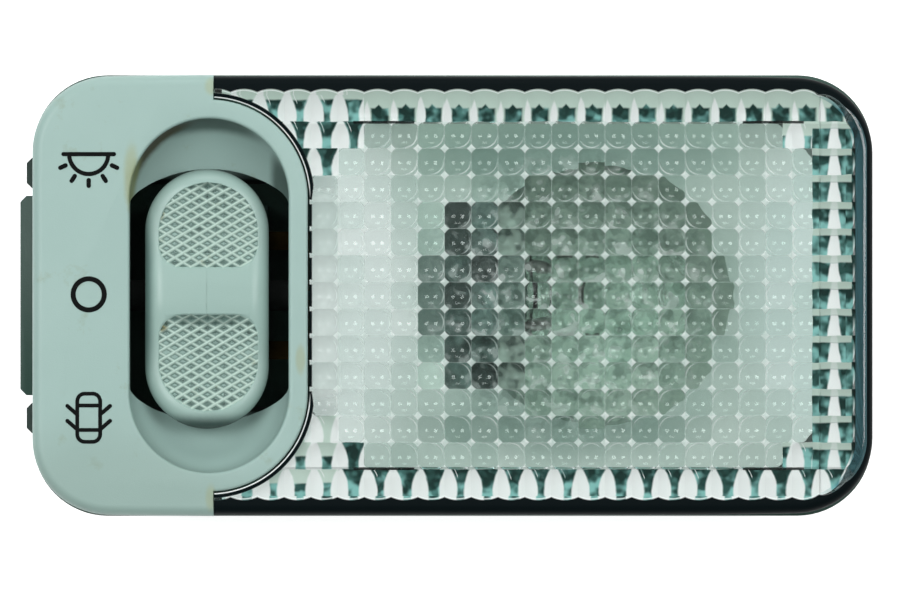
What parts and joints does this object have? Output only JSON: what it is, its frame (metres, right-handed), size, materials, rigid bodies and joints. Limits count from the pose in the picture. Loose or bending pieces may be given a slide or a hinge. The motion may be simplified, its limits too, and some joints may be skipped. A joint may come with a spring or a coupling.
{
  "type": "car dome light",
  "caption": "Oblong car dome light with a clear prism lens, a pale bezel, a three-way rocker switch in an oval well, and a rear housing that clips into the headlining.",
  "frame": {"origin": "centre of the flange's underside, which rests on the headlining, in the middle of the face's length and width", "axes": "+X along the face from the switch towards the far end of the lens, +Y towards the lamp-on symbol, +Z out of the face into the cabin"},
  "size_m": [0.1118, 0.0578, 0.0271],
  "materials": {
    "housing_plastic": "moulded, fine grain",
    "bezel_plastic": "moulded, satin",
    "clear_acrylic": "clear, glossy",
    "white_plastic": "glossy white",
    "bowl_aluminium": "pressed, bright",
    "black_plastic": "moulded, matt",
    "bulb_glass": "clear",
    "wire": "drawn",
    "contact_brass": "stamped",
    "strip_brass": "stamped",
    "rocker_plastic": "moulded, satin",
    "spring_steel": "rolled",
    "black_steel": "blackened",
    "screw_steel": "zinc plated",
    "black_ink": "printed"
  },
  "bodies": {
    "lamp_body": {"rear_housing": "housing_plastic", "front_bezel": "bezel_plastic", "lens": "clear_acrylic", "reflector_plate": "white_plastic", "bowl_reflector": "bowl_aluminium", "bulb_holder": "black_plastic", "bulb_glass": "bulb_glass", "bulb_filament": "wire", "bulb_leads": "wire", "holder_contacts": "contact_brass", "live_bar": "strip_brass", "common_bar": "strip_brass", "earth_bar": "strip_brass", "door_bar": "strip_brass", "detent_spring": "spring_steel", "spring_clips": "black_steel", "bezel_screws": "screw_steel", "lamp_symbol": "black_ink", "off_symbol": "black_ink", "door_symbol": "black_ink"},
    "switch_rocker": {"rocker": "rocker_plastic", "wiper_contact": "contact_brass"}
  },
  "joints": [
    {"name": "rocker_tilt", "type": "hinge", "parent": "lamp_body", "child": "switch_rocker", "pos_m": [-0.03187, 0, -0.001], "axis": [1, 0, 0], "range_deg": [-8, 8]}
  ]
}
